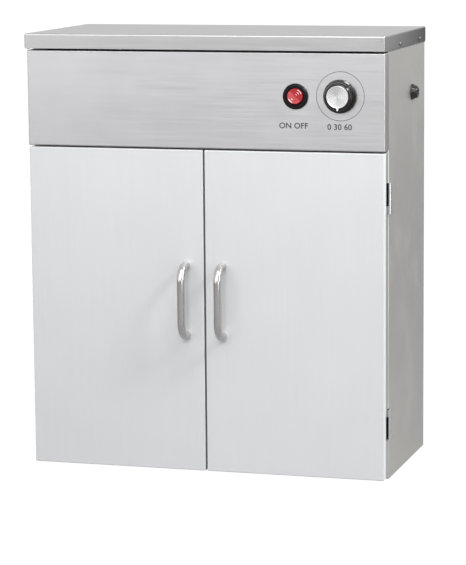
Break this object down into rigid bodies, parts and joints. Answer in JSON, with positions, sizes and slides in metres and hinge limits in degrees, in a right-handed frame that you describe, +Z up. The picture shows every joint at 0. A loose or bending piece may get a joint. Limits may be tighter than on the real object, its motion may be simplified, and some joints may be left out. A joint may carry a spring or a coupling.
{
  "type": "knife sterilizer cabinet",
  "caption": "Stainless knife sterilizer cabinet with hinged doors, bow handles, a rocker switch and timer knob on the fascia, slotted knife combs, a lamp behind a wire guard and a drip tray",
  "frame": {"origin": "on the floor, in the middle of the footprint from the door faces to the back panel", "axes": "+Z up, +X to the right seen from in front, the doors face -Y"},
  "size_m": [0.5128, 0.2778, 0.597],
  "materials": {
    "casing_steel": "satin stainless sheet with a fine grain",
    "door_steel": "satin stainless sheet with a fine grain",
    "polished_steel": "polished stainless bar",
    "comb_steel": "satin stainless sheet",
    "hinge_steel": "turned and polished steel",
    "screw_steel": "bright screw steel",
    "reflector_aluminium": "bright rolled sheet",
    "spun_aluminium": "concentrically brushed",
    "magnet_iron": "plated pole pieces",
    "ballast_paint": "light grey paint",
    "lamp_glass": "clear quartz glass",
    "seal_rubber": "matt moulded rubber",
    "black_plastic": "moulded, slightly matt",
    "knob_plastic": "gloss moulded",
    "red_plastic": "translucent red lens",
    "white_plastic": "moulded, slightly matt",
    "wire_plastic": "insulated lead"
  },
  "bodies": {
    "root": {"right_side_panel": "casing_steel", "left_side_panel": "casing_steel", "back_panel": "casing_steel", "base_panel": "casing_steel", "chamber_ceiling": "casing_steel", "top_cover": "casing_steel", "fascia_panel": "casing_steel", "back_panel_screws": "screw_steel", "cover_screws": "screw_steel", "fascia_screws": "screw_steel", "switch_body": "black_plastic", "timer_body": "white_plastic", "timer_screws": "screw_steel", "cable_gland": "black_plastic", "gland_locknut": "black_plastic", "upper_knife_comb": "comb_steel", "lower_knife_comb": "comb_steel", "rack_ledges": "casing_steel", "lamp_reflector": "reflector_aluminium", "right_lampholder": "white_plastic", "left_lampholder": "white_plastic", "uv_lamp_tube": "lamp_glass", "lamp_caps": "spun_aluminium", "lamp_guard": "polished_steel", "wire_duct": "casing_steel", "drip_tray": "casing_steel", "catch_body": "white_plastic", "catch_magnets": "magnet_iron", "right_door_switch": "black_plastic", "left_door_switch": "black_plastic", "ballast": "ballast_paint", "starter_holder": "white_plastic", "lamp_starter": "white_plastic", "terminal_block": "white_plastic", "wiring": "wire_plastic", "ceiling_grommet": "seal_rubber", "hinge_pins": "hinge_steel", "right_hinge_frame_leaves": "hinge_steel", "left_hinge_frame_leaves": "hinge_steel"},
    "right_door": {"right_hinge_door_leaves": "hinge_steel", "right_door_panel": "door_steel", "right_door_liner": "door_steel", "right_door_seal": "seal_rubber", "right_door_handle": "polished_steel", "right_handle_screws": "screw_steel", "right_strike_plate": "screw_steel"},
    "left_door": {"left_hinge_door_leaves": "hinge_steel", "left_door_panel": "door_steel", "left_door_liner": "door_steel", "left_door_seal": "seal_rubber", "left_door_handle": "polished_steel", "left_handle_screws": "screw_steel", "left_strike_plate": "screw_steel"},
    "rocker": {"switch_rocker": "red_plastic"},
    "knob": {"timer_knob": "knob_plastic", "knob_cap": "spun_aluminium", "timer_shaft": "screw_steel"},
    "right_plunger": {"right_switch_plunger": "white_plastic"},
    "left_plunger": {"left_switch_plunger": "white_plastic"}
  },
  "joints": [
    {"name": "right_door_hinge", "type": "hinge", "parent": "root", "child": "right_door", "pos_m": [0.251, -0.1006, 0.2284], "axis": [0, 0, 1], "range_deg": [0, 180]},
    {"name": "left_door_hinge", "type": "hinge", "parent": "root", "child": "left_door", "pos_m": [-0.251, -0.1006, 0.2284], "axis": [0, 0, -1], "range_deg": [0, 180]},
    {"name": "power_rocker", "type": "hinge", "parent": "root", "child": "rocker", "pos_m": [0.1287, -0.124, 0.5165], "axis": [0.7071, 0, -0.7071], "range_deg": [0, 20]},
    {"name": "timer_turn", "type": "hinge", "parent": "root", "child": "knob", "pos_m": [0.1896, -0.1225, 0.5174], "axis": [0, 1, 0], "range_deg": [0, 300]},
    {"name": "right_plunger_slide", "type": "slide", "parent": "root", "child": "right_plunger", "axis": [0, -1, 0], "range_m": [0, 0.003]},
    {"name": "left_plunger_slide", "type": "slide", "parent": "root", "child": "left_plunger", "axis": [0, -1, 0], "range_m": [0, 0.003]}
  ],
  "couplings": [
    {"joint": "right_plunger_slide", "follows": "right_door_hinge", "m_per_rad": 0.00095492},
    {"joint": "left_plunger_slide", "follows": "left_door_hinge", "m_per_rad": 0.00095492}
  ]
}
